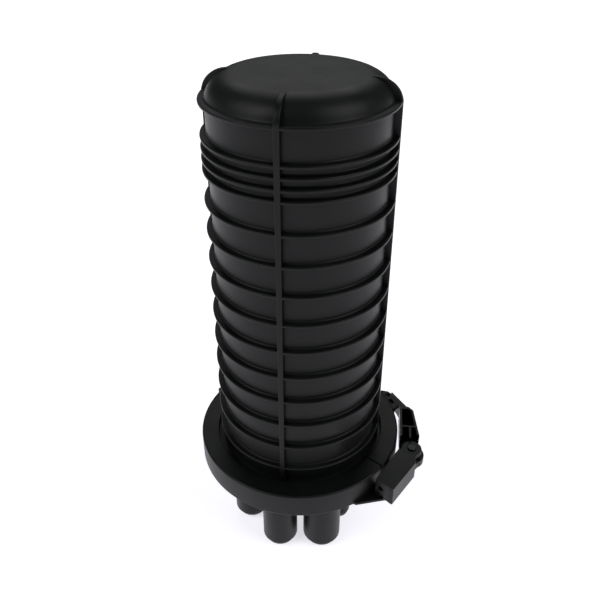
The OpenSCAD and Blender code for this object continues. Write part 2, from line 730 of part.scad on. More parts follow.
module splice_holder(i) {
    // comb with one slot for each splice sleeve
    slot_w = 2.4;
    w = tray_w - 26;
    pitch = (w - 2) / slot_count;
    color("ivory") translate([0, tray_y(i) - tray_wall, tray_z + tray_l / 2 - 14]) rotate([90, 0, 0]) difference() {
        translate([-w / 2, 0, 0]) cube([w, 28, tray_d - tray_wall - 1]);
        for (k = [0 : slot_count - 1]) translate([-w / 2 + 1 + pitch * (k + 0.5) - slot_w / 2, -1, 1])
            cube([slot_w, 30, tray_d]);
    }
}

module tray_cover() {
    // clear lid on the front tray
    y = tray_y(tray_count) - tray_d - tray_gap;
    color("gainsboro") translate([0, y, tray_z]) rotate([90, 0, 0]) linear_extrude(1.5)
        rounded_plate(tray_w, tray_l, 16);
}

strap_z = tray_z + tray_l * 0.78;
module tray_strap() {
    // band that holds the tray stack against the backbone
    front = tray_y(tray_count) - tray_d - tray_gap - 1.5 - seat;
    back = frame_y + frame_t + seat;
    in_w = tray_w + 2 * seat;
    color("black") translate([0, 0, strap_z]) difference() {
        translate([-in_w / 2 - 1, front - 1, 0]) cube([in_w + 2, back - front + 2, 12]);
        translate([-in_w / 2, front, -1]) cube([in_w, back - front, 14]);
    }
}

basket_y = frame_y + frame_t;
module slack_basket() {
    // open-topped basket behind the backbone for stored fibre tubes
    w = frame_w - 10;
    h = tray_l * 0.66;
    color("gainsboro") translate([-w / 2, basket_y, tray_z - 10]) difference() {
        cube([w, basket_d, h]);
        translate([tray_wall, tray_wall, tray_wall]) cube([w - 2 * tray_wall, basket_d - 2 * tray_wall, h]);
        for (i = [0 : 3]) translate([w / 2 - 8, basket_d - 4, 22 + i * 32]) cube([16, 8, 18]);
    }
}

anchor_h = 26;
anchor_t = 3;
module anchor_at(i) {
    // places a child on the inner side of a port's mouth
    p = ports[i][1];
    translate([p.x, p.y, joint_z]) rotate([0, 0, atan2(p.y, p.x)]) children();
}

module cable_anchors() {
    // upright tongue beside each front port, with a tie slot
    color("gainsboro") for (i = [0 : 1]) anchor_at(i) difference() {
        translate([-ports[i][2] + port_wall - anchor_t - 0.4, -6, 0]) union() {
            cube([anchor_t, 12, anchor_h]);
            translate([-9, 0, 0]) cube([9 + tiny, 12, anchor_t]);
        }
        translate([-ports[i][2] + port_wall - anchor_t - 2, -4, anchor_h - 8]) cube([8, 8, 3]);
    }
}

module anchor_screws() {
    // thread-forming screws that hold each tongue's foot to the deck
    color("silver") for (i = [0 : 1]) anchor_at(i)
        translate([-ports[i][2] + port_wall - anchor_t - 5.5, 0, anchor_t]) {
            rotate_extrude() polygon([[0, 0], [3, 0], [2.8, 1.1], [1.9, 1.9], [0, 2]]);
        }
}

module strength_clamps() {
    // blocks on the backbone beside its window that grip the cables' strength members
    color("silver") for (s = [-1, 1]) translate([s * (frame_w / 2 - 5), frame_y, joint_z + 18]) difference() {
        translate([-5, -9, 0]) cube([10, 9, 12]);
        translate([0, -4.5, -1]) cylinder(r = 1.8, h = 14);
    }
}

module earth_stud() {
    // bonding stud with its nut, on the deck behind the backbone
    p = [-frame_w / 2 + 22, frame_y + 9];
    color("silver") translate([p.x, p.y, joint_z]) union() {
        cylinder(r = 5.5, h = 3.2, $fn = 6);
        cylinder(r = 2.5, h = 14);
    }
}

base();
dome();
seal_ring();
hoop_front();
hoop_rear();
hoop_hinge_pin();
latch_lever();
latch_link();
fulcrum_pin();
link_pin();
support_frame();
frame_screws();
tray_bracket();
tray_cover();
tray_hinge_pins();
slack_basket();
tray_strap();
cable_anchors();
anchor_screws();
strength_clamps();
earth_stud();
for (i = [1 : tray_count]) {
    splice_tray(i);
    splice_holder(i);
}
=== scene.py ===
"""Dome splice closure: the dressed model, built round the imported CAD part."""

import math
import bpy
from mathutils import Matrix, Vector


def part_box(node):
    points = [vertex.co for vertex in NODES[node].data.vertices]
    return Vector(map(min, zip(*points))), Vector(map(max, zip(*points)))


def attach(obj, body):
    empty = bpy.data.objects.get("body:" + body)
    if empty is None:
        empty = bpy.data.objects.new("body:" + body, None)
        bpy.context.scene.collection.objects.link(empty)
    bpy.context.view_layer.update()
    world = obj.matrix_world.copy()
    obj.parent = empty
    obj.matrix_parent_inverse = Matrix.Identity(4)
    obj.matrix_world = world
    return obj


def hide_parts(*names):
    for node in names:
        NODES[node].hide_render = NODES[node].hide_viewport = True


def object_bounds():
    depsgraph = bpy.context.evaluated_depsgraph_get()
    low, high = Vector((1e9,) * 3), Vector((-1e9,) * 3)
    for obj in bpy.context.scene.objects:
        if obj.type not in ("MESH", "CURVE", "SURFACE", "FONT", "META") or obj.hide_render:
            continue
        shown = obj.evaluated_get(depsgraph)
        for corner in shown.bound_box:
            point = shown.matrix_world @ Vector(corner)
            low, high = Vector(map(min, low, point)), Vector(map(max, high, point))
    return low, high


bl_info = {
    "name": "Dome splice closure",
    "version": (1, 0, 0),
    "blender": (4, 5, 0),
    "location": "View3D > Sidebar > Closure",
    "description": "Models and finishes a ribbed dome closure with its hinged hoop and draw latch",
    "category": "Object",
}

import bmesh
import bpy
from bpy.props import FloatProperty, FloatVectorProperty, IntProperty, PointerProperty
from mathutils import Vector

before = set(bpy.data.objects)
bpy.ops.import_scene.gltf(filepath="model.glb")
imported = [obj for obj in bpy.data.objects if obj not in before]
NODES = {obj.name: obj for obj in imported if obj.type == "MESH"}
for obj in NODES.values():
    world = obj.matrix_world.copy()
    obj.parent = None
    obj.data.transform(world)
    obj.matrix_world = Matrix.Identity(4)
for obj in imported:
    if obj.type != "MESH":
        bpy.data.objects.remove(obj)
CAD_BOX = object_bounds()
MM = 0.001

DOME_LOW, DOME_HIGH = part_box("dome")
HOOP_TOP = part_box("hoop_front")[1].z


# ---------------------------------------------------------------- sizes and colours


class CLOSURE_PG_sizes(bpy.types.PropertyGroup):
    """Sizes of the modelled pieces."""

    foot_radius: FloatProperty(
        name="Wall foot radius", description="Radius of the dome's wall at its foot",
        default=74.5 * MM, min=0.06, max=0.08, unit="LENGTH")
    head_radius: FloatProperty(
        name="Wall head radius", description="Radius of the dome's wall under the shoulder",
        default=73.2 * MM, min=0.06, max=0.08, unit="LENGTH")
    crown_radius: FloatProperty(
        name="Crown radius", description="Radius of the flat top",
        default=51.0 * MM, min=0.04, max=0.06, unit="LENGTH")
    shoulder_height: FloatProperty(
        name="Shoulder height",
        description="Height from the top ring rib's underside to the flat top",
        default=19.5 * MM, min=0.008, max=0.03, unit="LENGTH")
    rib_reach: FloatProperty(
        name="Ring rib reach", description="How far the ring ribs stand out from the wall",
        default=5.1 * MM, min=0.002, max=0.007, unit="LENGTH")
    rib_height: FloatProperty(
        name="Ring rib height", description="Height of a ring rib at its outer edge",
        default=2.6 * MM, min=0.001, max=0.005, unit="LENGTH")
    rib_root: FloatProperty(
        name="Ring rib root", description="Extra height of a ring rib where it meets the wall",
        default=1.2 * MM, min=0.0, max=0.003, unit="LENGTH")
    rib_round: FloatProperty(
        name="Rib rounding", description="Rounding of the ring ribs' outer edges",
        default=0.9 * MM, min=0.0001, max=0.0012, unit="LENGTH")
    rib_fillet: FloatProperty(
        name="Rib fillet", description="Fillet between a ring rib and the wall",
        default=1.1 * MM, min=0.0001, max=0.0025, unit="LENGTH")
    upright_width: FloatProperty(
        name="Upright rib width", description="Width of the four upright ribs",
        default=4.8 * MM, min=0.002, max=0.008, unit="LENGTH")
    upright_edge: FloatProperty(
        name="Upright rib edge", description="Rounding of the upright ribs' edges",
        default=0.9 * MM, min=0.0001, max=0.002, unit="LENGTH")
    wall_thickness: FloatProperty(
        name="Dome wall", description="Thickness of the dome's wall",
        default=3.0 * MM, min=0.001, max=0.005, unit="LENGTH")
    hoop_edge: FloatProperty(
        name="Hoop edge", description="Rounding of the hoop's moulded edges",
        default=0.6 * MM, min=0.0001, max=0.002, unit="LENGTH")
    latch_edge: FloatProperty(
        name="Latch edge", description="Rounding of the latch's moulded edges",
        default=0.4 * MM, min=0.0001, max=0.001, unit="LENGTH")
    lever_wall: FloatProperty(
        name="Lever wall", description="Thickness of the lever's walls and ribs",
        default=2.5 * MM, min=0.0015, max=0.004, unit="LENGTH")
    lever_gap: FloatProperty(
        name="Lever gap", description="Gap between the hoop and the closed lever",
        default=2.5 * MM, min=0.002, max=0.004, unit="LENGTH")
    base_edge: FloatProperty(
        name="Base edge", description="Rounding of the base's moulded edges",
        default=0.5 * MM, min=0.0001, max=0.002, unit="LENGTH")
    pin_edge: FloatProperty(
        name="Pin edge", description="Rounding of the pins' heads",
        default=0.25 * MM, min=0.0001, max=0.0005, unit="LENGTH")
    turn_steps: IntProperty(
        name="Turning steps", description="Faces round the dome",
        default=144, min=48, max=256)


class CLOSURE_PG_finish(bpy.types.PropertyGroup):
    """Colours of the finishes."""

    dome_colour: FloatVectorProperty(
        name="Dome plastic", description="Colour of the dome's moulded plastic",
        subtype="COLOR", size=3, min=0.0, max=1.0, default=(0.0028, 0.0031, 0.0031))
    hoop_colour: FloatVectorProperty(
        name="Hoop plastic", description="Colour of the hoop's moulded plastic",
        subtype="COLOR", size=3, min=0.0, max=1.0, default=(0.0026, 0.0030, 0.0031))
    base_colour: FloatVectorProperty(
        name="Base plastic", description="Colour of the base's moulded plastic",
        subtype="COLOR", size=3, min=0.0, max=1.0, default=(0.0028, 0.0031, 0.0033))
    latch_colour: FloatVectorProperty(
        name="Latch plastic", description="Colour of the latch's moulded plastic",
        subtype="COLOR", size=3, min=0.0, max=1.0, default=(0.0026, 0.0030, 0.0031))
    dust_colour: FloatVectorProperty(
        name="Dust", description="Colour of the fine dust on faces that look up",
        subtype="COLOR", size=3, min=0.0, max=1.0, default=(0.010, 0.0115, 0.011))
    steel_colour: FloatVectorProperty(
        name="Steel", description="Colour of the pins and screws",
        subtype="COLOR", size=3, min=0.0, max=1.0, default=(0.030, 0.032, 0.034))
    galvanised_colour: FloatVectorProperty(
        name="Galvanised sheet", description="Colour of the backbone and the clamps",
        subtype="COLOR", size=3, min=0.0, max=1.0, default=(0.48, 0.50, 0.52))
    brass_colour: FloatVectorProperty(
        name="Brass", description="Colour of the earth stud",
        subtype="COLOR", size=3, min=0.0, max=1.0, default=(0.62, 0.43, 0.16))
    tray_colour: FloatVectorProperty(
        name="Tray plastic", description="Colour of the splice trays",
        subtype="COLOR", size=3, min=0.0, max=1.0, default=(0.62, 0.62, 0.58))
    holder_colour: FloatVectorProperty(
        name="Holder rubber", description="Colour of the splice holders",
        subtype="COLOR", size=3, min=0.0, max=1.0, default=(0.50, 0.50, 0.46))
    seal_colour: FloatVectorProperty(
        name="Seal rubber", description="Colour of the seal ring",
        subtype="COLOR", size=3, min=0.0, max=1.0, default=(0.016, 0.016, 0.017))
    strap_colour: FloatVectorProperty(
        name="Strap", description="Colour of the strap round the splice trays",
        subtype="COLOR", size=3, min=0.0, max=1.0, default=(0.02, 0.02, 0.022))


class CLOSURE_PG_stage(bpy.types.PropertyGroup):
    """The floor, the lights and the camera."""

    floor_size: FloatProperty(
        name="Floor size", description="Width of the floor",
        default=14.0, min=2.0, max=40.0, unit="LENGTH")
    floor_colour: FloatVectorProperty(
        name="Floor", description="Colour of the floor",
        subtype="COLOR", size=3, min=0.0, max=1.0, default=(0.90, 0.89, 0.94))
    floor_glow: FloatProperty(
        name="Floor glow", description="Strength of the light that comes up through the floor",
        default=0.74, min=0.0, max=4.0)
    back_light: FloatProperty(
        name="Back light", description="Strength of the soft light above and behind, in W/m2",
        default=0.5, min=0.0, max=20.0)
    side_light: FloatProperty(
        name="Side lights",
        description="Strength of each of the two soft lights at the sides, in W/m2",
        default=1.1, min=0.0, max=20.0)
    horizon: FloatProperty(
        name="Horizon", description="Brightness of the surroundings at eye level in front",
        default=0.6, min=0.0, max=4.0)
    far_horizon: FloatProperty(
        name="Far horizon", description="Brightness of the surroundings at eye level behind",
        default=0.16, min=0.0, max=4.0)
    sky: FloatProperty(
        name="Sky", description="Brightness of the surroundings higher up",
        default=0.05, min=0.0, max=4.0)
    lens: FloatProperty(
        name="Lens", description="Focal length of the camera, in millimetres",
        default=40.83, min=10.0, max=200.0)
    camera_place: FloatVectorProperty(
        name="Camera place", description="Where the camera stands",
        subtype="TRANSLATION", size=3, unit="LENGTH", default=(0.0, -0.5193, 0.5268))
    camera_tilt: FloatProperty(
        name="Camera tilt", description="Tilt of the camera up from straight down",
        default=math.radians(56.81), min=0.0, max=math.pi, subtype="ANGLE", unit="ROTATION")


# ---------------------------------------------------------------- modelling helpers


CLOSE_BY = 0.00002               # places nearer than this are taken as one
SEAM = 0.000002                  # verts nearer than this are merged in a new mesh
COPY_SEAM = 0.000001             # and in a copied or carved one
FLAT = math.radians(0.5)         # faces that turn less than this are one flat face
SMOOTH_TO = math.radians(38.0)   # edges that turn less than this are shaded smooth
CORNER_STEPS = 3                 # faces over a rounded corner of a line
DRUM_FACES = 64


def nothing_selected():
    """Leaves edit mode and deselects every object."""
    if bpy.context.object and bpy.context.object.mode != "OBJECT":
        bpy.ops.object.mode_set(mode="OBJECT")
    bpy.ops.object.select_all(action="DESELECT")


def hold(obj):
    """Makes one object the only selected and the active one."""
    nothing_selected()
    obj.select_set(True)
    bpy.context.view_layer.objects.active = obj


def edit(obj):
    """Opens one object in edit mode with nothing selected in it."""
    hold(obj)
    bpy.ops.object.mode_set(mode="EDIT")
    bpy.ops.mesh.select_all(action="DESELECT")


def pick(obj, part, test):
    """Selects the verts or edges of the mesh in edit mode that pass the test."""
    bpy.ops.mesh.select_mode(type={"verts": "VERT", "edges": "EDGE"}[part])
    bpy.ops.mesh.select_all(action="DESELECT")
    bm = bmesh.from_edit_mesh(obj.data)
    found = 0
    for item in getattr(bm, part):
        if test(item):
            item.select_set(True)
            found += 1
    bm.select_flush_mode()
    bmesh.update_edit_mesh(obj.data)
    if not found:
        raise RuntimeError(f"{obj.name}: no {part} to select")


def chain(name, points):
    """A new mesh of one line of edges: a point that is drawn out from place to place."""
    nothing_selected()
    bpy.ops.mesh.primitive_plane_add(size=0.01)
    obj = bpy.context.object
    obj.name = obj.data.name = name
    bpy.ops.object.mode_set(mode="EDIT")
    bpy.ops.mesh.select_all(action="SELECT")
    bpy.ops.mesh.merge(type="CENTER")
    bpy.ops.transform.translate(value=points[0])
    for a, b in zip(points, points[1:]):
        bpy.ops.mesh.extrude_vertices_move(TRANSFORM_OT_translate={"value": Vector(b) - Vector(a)})
    return obj


def near(place, places):
    """Whether a place is one of the given places."""
    return any((place - Vector(p)).length < CLOSE_BY for p in places)


def round_corners(obj, corners, radius):
    """Rounds the named corners of the line in edit mode."""
    pick(obj, "verts", lambda v: near(v.co, corners))
    bpy.ops.mesh.bevel(
        offset_type="OFFSET", offset=radius, segments=CORNER_STEPS, affect="VERTICES")


def close_up(obj):
    """Merges what meets and turns the faces outwards, with everything in edit mode."""
    bpy.ops.mesh.select_all(action="SELECT")
    bpy.ops.mesh.remove_doubles(threshold=SEAM)
    bpy.ops.mesh.normals_make_consistent(inside=False)
    bpy.ops.object.mode_set(mode="OBJECT")


def clean_up(obj):
    """Merges the doubles of a mesh and dissolves the edges within its flat faces."""
    edit(obj)
    bpy.ops.mesh.select_all(action="SELECT")
    bpy.ops.mesh.remove_doubles(threshold=COPY_SEAM)
    bpy.ops.mesh.dissolve_limited(angle_limit=FLAT)


def soften(obj, width, steps=2, angle=30.0):
    """Rounds the edges of a finished form with an applied bevel."""
    hold(obj)
    bevel = obj.modifiers.new("edge rounding", "BEVEL")
    bevel.width = width
    bevel.segments = steps
    bevel.limit_method = "ANGLE"
    bevel.angle_limit = math.radians(angle)
    bevel.use_clamp_overlap = False
    bevel.miter_outer = "MITER_ARC"
    bpy.ops.object.modifier_apply(modifier=bevel.name)


def smooth(obj):
    """Shades a form smooth but for its sharp edges, weighted to its large faces."""
    hold(obj)
    bpy.ops.object.shade_smooth_by_angle(angle=SMOOTH_TO)
    weight = obj.modifiers.new("face weights", "WEIGHTED_NORMAL")
    weight.keep_sharp = True
    bpy.ops.object.modifier_apply(modifier=weight.name)


def slab(name, outline, low, high):
    """A closed block between two heights over an outline of places in plan."""
    block = chain(name, [(x, y, low) for x, y in outline])
    pick(block, "verts", lambda v: True)
    bpy.ops.mesh.edge_face_add()
    bpy.ops.mesh.extrude_region_move(TRANSFORM_OT_translate={"value": (0, 0, high - low)})
    close_up(block)
    return block


def drum(name, place, radius, low, high):
    """An upright round bar or cutter."""
    nothing_selected()
    bpy.ops.mesh.primitive_cylinder_add(
        vertices=DRUM_FACES, radius=radius, depth=high - low,
        location=(place[0], place[1], (low + high) / 2))
    bar = bpy.context.object
    bar.name = bar.data.name = name
    bpy.ops.object.transform_apply(location=True, rotation=False, scale=False)
    return bar


def join_forms(body, *forms):
    """Makes closed forms that run into a body part of its mesh."""
    nothing_selected()
    for form in (*forms, body):
        form.select_set(True)
    bpy.context.view_layer.objects.active = body
    bpy.ops.object.join()


def carve(body, tool, way):
    """Joins a form to a body (UNION) or cuts it away (DIFFERENCE)."""
    hold(body)
    cut = body.modifiers.new("carve", "BOOLEAN")
    cut.operation = way
    cut.solver = "EXACT"
    cut.object = tool
    bpy.ops.object.modifier_apply(modifier=cut.name)
    bpy.data.objects.remove(tool, do_unlink=True)


def moulded_copy(node, name, width, shape=None):
    """A merged copy of a CAD node's mesh, shaped where asked, with its edges rounded."""
    mesh = NODES[node].data.copy()
    mesh.name = name
    mesh.materials.clear()
    obj = bpy.data.objects.new(name, mesh)
    bpy.context.scene.collection.objects.link(obj)
    hold(obj)
    bpy.ops.mesh.customdata_custom_splitnormals_clear()
    clean_up(obj)
    if shape:
        shape(obj)
    bpy.ops.object.mode_set(mode="OBJECT")
    soften(obj, width)
    smooth(obj)
    return obj


def finish_piece(obj, body, slot, material, *nodes):
    """Gives a piece its material and its body, and hides the CAD nodes that it stands for; the slot
    is not used.
    """
    obj.data.materials.clear()
    obj.data.materials.append(material)
    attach(obj, body)
    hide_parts(*nodes)


# ---------------------------------------------------------------- finishes


GRAIN_DEPTH = 0.2 * MM    # depth of the mould texture at full strength
LINE_DEPTH = 0.1 * MM     # of the drawn lines on metal
WEAVE_DEPTH = 0.3 * MM    # and of the strap's threads
DUST_EVEN = 0.55          # share of the dust that lies everywhere
DUST_PATCHY = 0.45        # and share that comes in patches
DUST_DULLS = 0.15         # roughness that a full cover of dust adds


def new_group(name, inputs, outputs):
    """An empty shader group; inputs are name, kind and default, outputs are name and kind."""
    group = bpy.data.node_groups.new(name, "ShaderNodeTree")
    for label, kind, default in inputs:
        socket = group.interface.new_socket(label, in_out="INPUT", socket_type=kind)
        socket.default_value = default
    for label, kind in outputs:
        group.interface.new_socket(label, in_out="OUTPUT", socket_type=kind)
    return group, group.nodes.new("NodeGroupInput"), group.nodes.new("NodeGroupOutput")


def put(tree, kind, values=(), **settings):
    """Adds a node, sets its properties, then its input sockets by name or number."""
    node = tree.nodes.new(kind)
    for key, value in settings.items():
        setattr(node, key, value)
    for key, value in dict(values).items():
        node.inputs[key].default_value = value
    return node


def join(tree, source, out, target, into):
    """Links an output socket to an input socket, each by name or number."""
    tree.links.new(source.outputs[out], target.inputs[into])


def math_node(tree, operation, a, b=None, clamp=False):
    """A math node; a and b are numbers or (node, output) pairs."""
    node = put(tree, "ShaderNodeMath", operation=operation, use_clamp=clamp)
    for i, value in enumerate((a, b)):
        if isinstance(value, tuple):
            join(tree, value[0], value[1], node, i)
        elif value is not None:
            node.inputs[i].default_value = value
    return node


def two_tones(tree, source, out, low, high):
    """A colour that goes from low to high with the source."""
    tone = put(tree, "ShaderNodeMix", {"A": (*low, 1), "B": (*high, 1)}, data_type="RGBA")
    join(tree, source, out, tone, "Factor")
    return tone


def relief(tree, source, out, shader, strength, depth):
    """Gives the shader a fine relief whose height is the source's."""
    bump = put(tree, "ShaderNodeBump", {"Strength": strength, "Distance": depth})
    join(tree, source, out, bump, "Height")
    join(tree, bump, 0, shader, "Normal")


def scaled(colour, share):
    """A colour made darker or lighter."""
    return [c * share for c in colour]


def graded(tree, source, out, low, high, start, end):
    """A soft step from start to end while the source goes from low to high."""
    step = put(tree, "ShaderNodeMapRange",
               {"From Min": low, "From Max": high, "To Min": start, "To Max": end},
               interpolation_type="SMOOTHSTEP")
    join(tree, source, out, step, "Value")
    return step


def group_moulded_grain():
    """Fine mould texture: a height, a mask of slow patches for colour and gloss, and a speckle."""
    name = "moulded_grain"
    if name in bpy.data.node_groups:
        return bpy.data.node_groups[name]
    tree, start, end = new_group(
        name,
        (("Grain per metre", "NodeSocketFloat", 1500.0),
         ("Patches per metre", "NodeSocketFloat", 26.0),
         ("Stretch", "NodeSocketVector", (1.0, 1.0, 1.0))),
        (("Height", "NodeSocketFloat"), ("Patches", "NodeSocketFloat"),
         ("Speckle", "NodeSocketFloat")))
    place = put(tree, "ShaderNodeTexCoord")
    mapping = put(tree, "ShaderNodeMapping", vector_type="POINT")
    join(tree, place, "Object", mapping, "Vector")
    join(tree, start, "Stretch", mapping, "Scale")
    grain = put(tree, "ShaderNodeTexNoise", {"Detail": 2.0, "Roughness": 0.55})
    join(tree, mapping, 0, grain, "Vector")
    join(tree, start, "Grain per metre", grain, "Scale")
    patches = put(tree, "ShaderNodeTexNoise", {"Detail": 4.0, "Roughness": 0.5, "Distortion": 0.4})
    join(tree, mapping, 0, patches, "Vector")
    join(tree, start, "Patches per metre", patches, "Scale")
    finer = math_node(tree, "MULTIPLY", (start, "Grain per metre"), 2.7)
    cells = put(tree, "ShaderNodeTexVoronoi", {"Randomness": 1.0}, feature="SMOOTH_F1")
    join(tree, mapping, 0, cells, "Vector")
    join(tree, finer, 0, cells, "Scale")
    height = math_node(tree, "MULTIPLY_ADD", (cells, "Distance"), 0.5)
    join(tree, grain, 0, height, 2)
    join(tree, height, 0, end, "Height")
    soft = put(tree, "ShaderNodeMapRange", {"From Min": 0.32, "From Max": 0.68})
    join(tree, patches, 0, soft, "Value")
    join(tree, soft, 0, end, "Patches")
    join(tree, cells, "Distance", end, "Speckle")
    return tree


def group_settled_dust():
    """A mask for the fine dust that settles on faces that look up."""
    name = "settled_dust"
    if name in bpy.data.node_groups:
        return bpy.data.node_groups[name]
    tree, start, end = new_group(
        name, (("Amount", "NodeSocketFloat", 0.5), ("Patches", "NodeSocketFloat", 0.5)),
        (("Mask", "NodeSocketFloat"),))
    place = put(tree, "ShaderNodeTexCoord")
    facing = put(tree, "ShaderNodeSeparateXYZ")
    join(tree, place, "Normal", facing, 0)
    up = graded(tree, facing, "Z", 0.35, 0.98, 0.0, 1.0)
    uneven = math_node(tree, "MULTIPLY_ADD", (start, "Patches"), DUST_PATCHY)
    uneven.inputs[2].default_value = DUST_EVEN
    both = math_node(tree, "MULTIPLY", (up, 0), (uneven, 0))
    mask = math_node(tree, "MULTIPLY", (both, 0), (start, "Amount"), clamp=True)
    join(tree, mask, 0, end, "Mask")
    return tree


def new_material(name):
    """A node material that holds only its Principled shader and its output."""
    material = bpy.data.materials.new(name)
    material.use_nodes = True
    tree = material.node_tree
    tree.nodes.clear()
    shader = put(tree, "ShaderNodeBsdfPrincipled")
    out = put(tree, "ShaderNodeOutputMaterial")
    join(tree, shader, "BSDF", out, "Surface")
    return material, tree, shader


def moulded_plastic(name, colour, rough, rough_span=0.10, grain=1500.0, bump=0.05, dust=0.0,
                    specular=0.21, lift=0.30):
    """Satin moulded plastic or rubber: grained, unevenly glossy, and dusty where it looks up.

    Rough is its middle roughness, and lift is how far apart its two tones lie.
    """
    if name in bpy.data.materials:
        return bpy.data.materials[name]
    finish = bpy.context.scene.closure_finish
    material, tree, shader = new_material(name)
    shader.inputs["IOR"].default_value = 1.49
    shader.inputs["Specular IOR Level"].default_value = specular
    surface = put(tree, "ShaderNodeGroup", node_tree=group_moulded_grain())
    surface.inputs["Grain per metre"].default_value = grain
    settled = put(tree, "ShaderNodeGroup", node_tree=group_settled_dust())
    settled.inputs["Amount"].default_value = dust
    join(tree, surface, "Patches", settled, "Patches")
    tone = two_tones(tree, surface, "Patches",
                     scaled(colour, 1 - lift / 2), scaled(colour, 1 + lift / 2))
    dusty = put(tree, "ShaderNodeMix", {"B": (*finish.dust_colour, 1)}, data_type="RGBA")
    join(tree, tone, "Result", dusty, "A")
    join(tree, settled, "Mask", dusty, "Factor")
    join(tree, dusty, "Result", shader, "Base Color")
    gloss = put(tree, "ShaderNodeMapRange",
                {"To Min": rough - rough_span / 2, "To Max": rough + rough_span / 2})
    join(tree, surface, "Patches", gloss, "Value")
    duller = math_node(tree, "MULTIPLY_ADD", (settled, "Mask"), DUST_DULLS)
    join(tree, gloss, 0, duller, 2)
    join(tree, duller, 0, shader, "Roughness")
    relief(tree, surface, "Height", shader, bump, GRAIN_DEPTH)
    return material


def worked_metal(name, colour, rough, stretch):
    """Turned or rolled metal, its fine lines drawn out along the axes where stretch is small."""
    if name in bpy.data.materials:
        return bpy.data.materials[name]
    material, tree, shader = new_material(name)
    shader.inputs["Metallic"].default_value = 1.0
    surface = put(tree, "ShaderNodeGroup", node_tree=group_moulded_grain())
    surface.inputs["Grain per metre"].default_value = 900.0
    surface.inputs["Patches per metre"].default_value = 90.0
    surface.inputs["Stretch"].default_value = stretch
    tone = two_tones(tree, surface, "Patches", scaled(colour, 0.8), colour)
    join(tree, tone, "Result", shader, "Base Color")
    gloss = put(tree, "ShaderNodeMapRange", {"To Min": rough - 0.06, "To Max": rough + 0.1})
    join(tree, surface, "Speckle", gloss, "Value")
    join(tree, gloss, 0, shader, "Roughness")
    relief(tree, surface, "Height", shader, 0.04, LINE_DEPTH)
    return material


def clear_plastic(name):
    """Clear lid plastic, very slightly scuffed."""
    if name in bpy.data.materials:
        return bpy.data.materials[name]
    material, tree, shader = new_material(name)
    shader.inputs["IOR"].default_value = 1.58
    shader.inputs["Transmission Weight"].default_value = 0.9
    shader.inputs["Base Color"].default_value = (0.9, 0.93, 0.94, 1)
    surface = put(tree, "ShaderNodeGroup", node_tree=group_moulded_grain())
    gloss = put(tree, "ShaderNodeMapRange", {"To Min": 0.05, "To Max": 0.14})
    join(tree, surface, "Patches", gloss, "Value")
    join(tree, gloss, 0, shader, "Roughness")
    return material


def woven_band(name, colour):
    """A coarse woven band: two sets of threads at right angles."""
    if name in bpy.data.materials:
        return bpy.data.materials[name]
    material, tree, shader = new_material(name)
    shader.inputs["Sheen Weight"].default_value = 0.2
    shader.inputs["Roughness"].default_value = 0.9
    place = put(tree, "ShaderNodeTexCoord")
    waves = []
    for direction in ("X", "Z"):
        wave = put(tree, "ShaderNodeTexWave", {"Scale": 160.0, "Distortion": 0.3},
                   bands_direction=direction)
        join(tree, place, "Object", wave, "Vector")
        waves.append(wave)
    weave = math_node(tree, "MAXIMUM", (waves[0], "Fac"), (waves[1], "Fac"))
    tone = two_tones(tree, weave, 0, scaled(colour, 0.4), colour)
    join(tree, tone, "Result", shader, "Base Color")
    relief(tree, weave, 0, shader, 0.4, WEAVE_DEPTH)
    return material


def dome_plastic():
    return moulded_plastic("dome plastic", bpy.context.scene.closure_finish.dome_colour,
                           rough=0.40, bump=0.07, dust=0.25)


def hoop_plastic():
    return moulded_plastic("hoop plastic", bpy.context.scene.closure_finish.hoop_colour,
                           rough=0.42, dust=0.12)


def base_plastic():
    return moulded_plastic("base plastic", bpy.context.scene.closure_finish.base_colour,
                           rough=0.40, rough_span=0.12, dust=0.1)


def latch_plastic():
    return moulded_plastic("latch plastic", bpy.context.scene.closure_finish.latch_colour,
                           rough=0.36, bump=0.04, dust=0.15)


def pin_steel():
    return worked_metal("pin steel", bpy.context.scene.closure_finish.steel_colour,
                        rough=0.26, stretch=(1.0, 1.0, 0.2))


# ---------------------------------------------------------------- dome


RING_FIRST = 50.0 * MM    # underside of the lowest ring rib
RING_PITCH = 26.8 * MM
RING_COUNT = 10           # ring ribs at the full pitch
CLOSE_COUNT = 4           # ring ribs that stand close together above them
CLOSE_PER_PITCH = 3       # how many of those fill a pitch
JOINT_Z = DOME_LOW.z      # where the dome stands on the base
FLANGE_T = 8.6 * MM       # thickness of the flange, and at its outer edge
FLANGE_EDGE_T = 6.6 * MM
FLANGE_IN_R = 84.0 * MM   # where its top starts to fall to the edge
FOOT_OUT = 3 * MM         # the slope between the flange and the wall
FOOT_UP = 5 * MM

UPRIGHT_COUNT = 4
UPRIGHT_FIRST = -102           # angle of the first upright rib, in degrees anticlockwise from +X
UPRIGHT_PROUD = 0.35 * MM      # how far they stand out past the ring ribs
UPRIGHT_SUNK = 1 * MM          # how deep they run into the flange
UPRIGHT_ROOT = 1.5 * MM        # and into the wall and the flat top
UPRIGHT_END = 0.6 * MM         # how far they run in over the flat top's edge
UPRIGHT_HUMP = 2.4 * MM        # how much they fill out the shoulder
UPRIGHT_STEPS = 12             # faces over the shoulder
UPRIGHT_INSIDE = (0.7, 0.42)   # a corner inside the shoulder, as shares of its width and height


def ring_heights(sizes):
    """Heights of the ring ribs' undersides, from the lowest up."""
    last = RING_FIRST + (RING_COUNT - 1) * RING_PITCH
    rows = [RING_FIRST + i * RING_PITCH for i in range(RING_COUNT)]
    rows += [last + RING_PITCH + i * RING_PITCH / CLOSE_PER_PITCH for i in range(CLOSE_COUNT)]
    return rows + [DOME_HIGH.z - sizes.shoulder_height]


